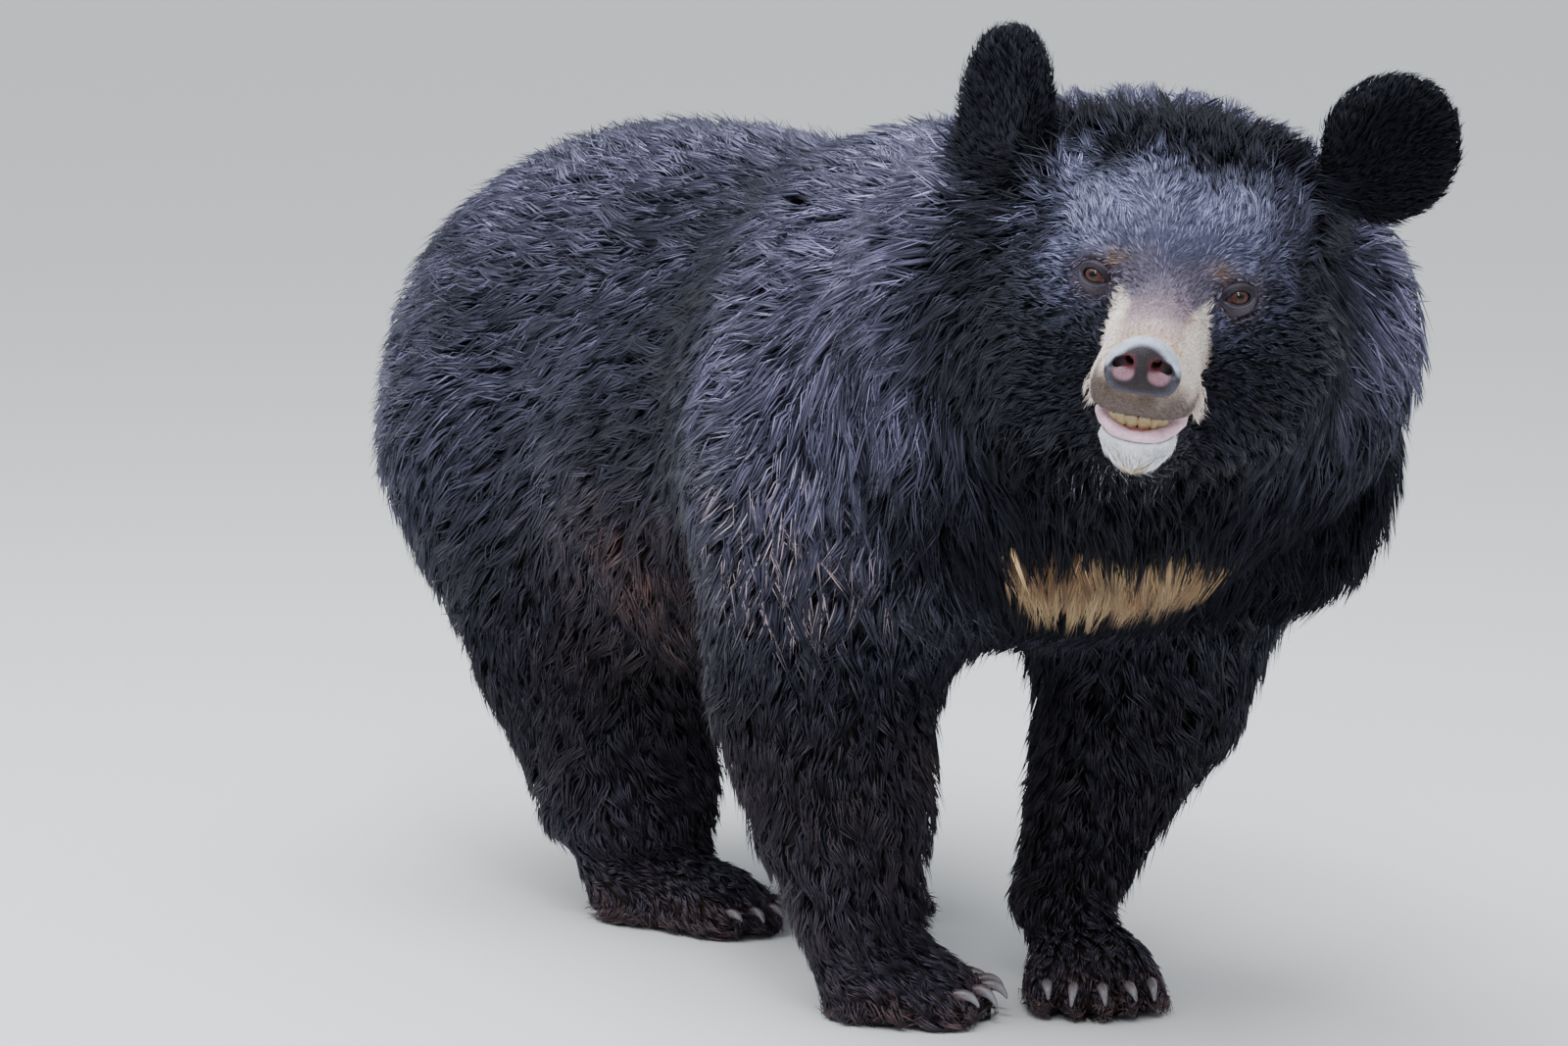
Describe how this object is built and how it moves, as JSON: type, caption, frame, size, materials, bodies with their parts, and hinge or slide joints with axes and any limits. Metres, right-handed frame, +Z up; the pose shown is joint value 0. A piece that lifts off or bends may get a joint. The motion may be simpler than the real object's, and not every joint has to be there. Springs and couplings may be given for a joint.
{
  "type": "asian black bear",
  "caption": "Life-size still model of a standing black bear of the moon bear kind, head turned to its right, mouth just open, with a ruff and a pale crescent on the chest",
  "frame": {"origin": "on the floor, under the middle of the box round the whole animal", "axes": "+Z up; the bear faces -Y and its right side is at -X; the body lies along Y"},
  "size_m": [0.561, 1.4166, 0.8025],
  "materials": {
    "coat": "long glossy hair, lying back and down",
    "ruff_coat": "long loose hair",
    "face_coat": "short glossy hair",
    "ear_coat": "plush hair",
    "foot_coat": "short hair over dark soles",
    "muzzle_coat": "very short flat hair",
    "chin_coat": "short pale hair",
    "nose_skin": "damp, semi-gloss",
    "eye": "wet gloss",
    "claw": "worn horn, satin",
    "tooth": "satin"
  },
  "bodies": {
    "root": {"head": "face_coat", "right_ear": "ear_coat", "left_ear": "ear_coat", "muzzle": "muzzle_coat", "lower_jaw": "chin_coat", "nose": "nose_skin", "right_eye": "eye", "left_eye": "eye", "lower_teeth": "tooth", "neck": "ruff_coat", "trunk": "coat", "tail": "coat", "right_foreleg": "coat", "left_foreleg": "coat", "right_hind_leg": "coat", "left_hind_leg": "coat", "right_forefoot": "foot_coat", "left_forefoot": "foot_coat", "right_hind_foot": "foot_coat", "left_hind_foot": "foot_coat", "right_fore_claw_1": "claw", "right_fore_claw_2": "claw", "right_fore_claw_3": "claw", "right_fore_claw_4": "claw", "right_fore_claw_5": "claw", "left_fore_claw_1": "claw", "left_fore_claw_2": "claw", "left_fore_claw_3": "claw", "left_fore_claw_4": "claw", "left_fore_claw_5": "claw", "right_hind_claw_1": "claw", "right_hind_claw_2": "claw", "right_hind_claw_3": "claw", "right_hind_claw_4": "claw", "right_hind_claw_5": "claw", "left_hind_claw_1": "claw", "left_hind_claw_2": "claw", "left_hind_claw_3": "claw", "left_hind_claw_4": "claw", "left_hind_claw_5": "claw"}
  },
  "joints": []
}
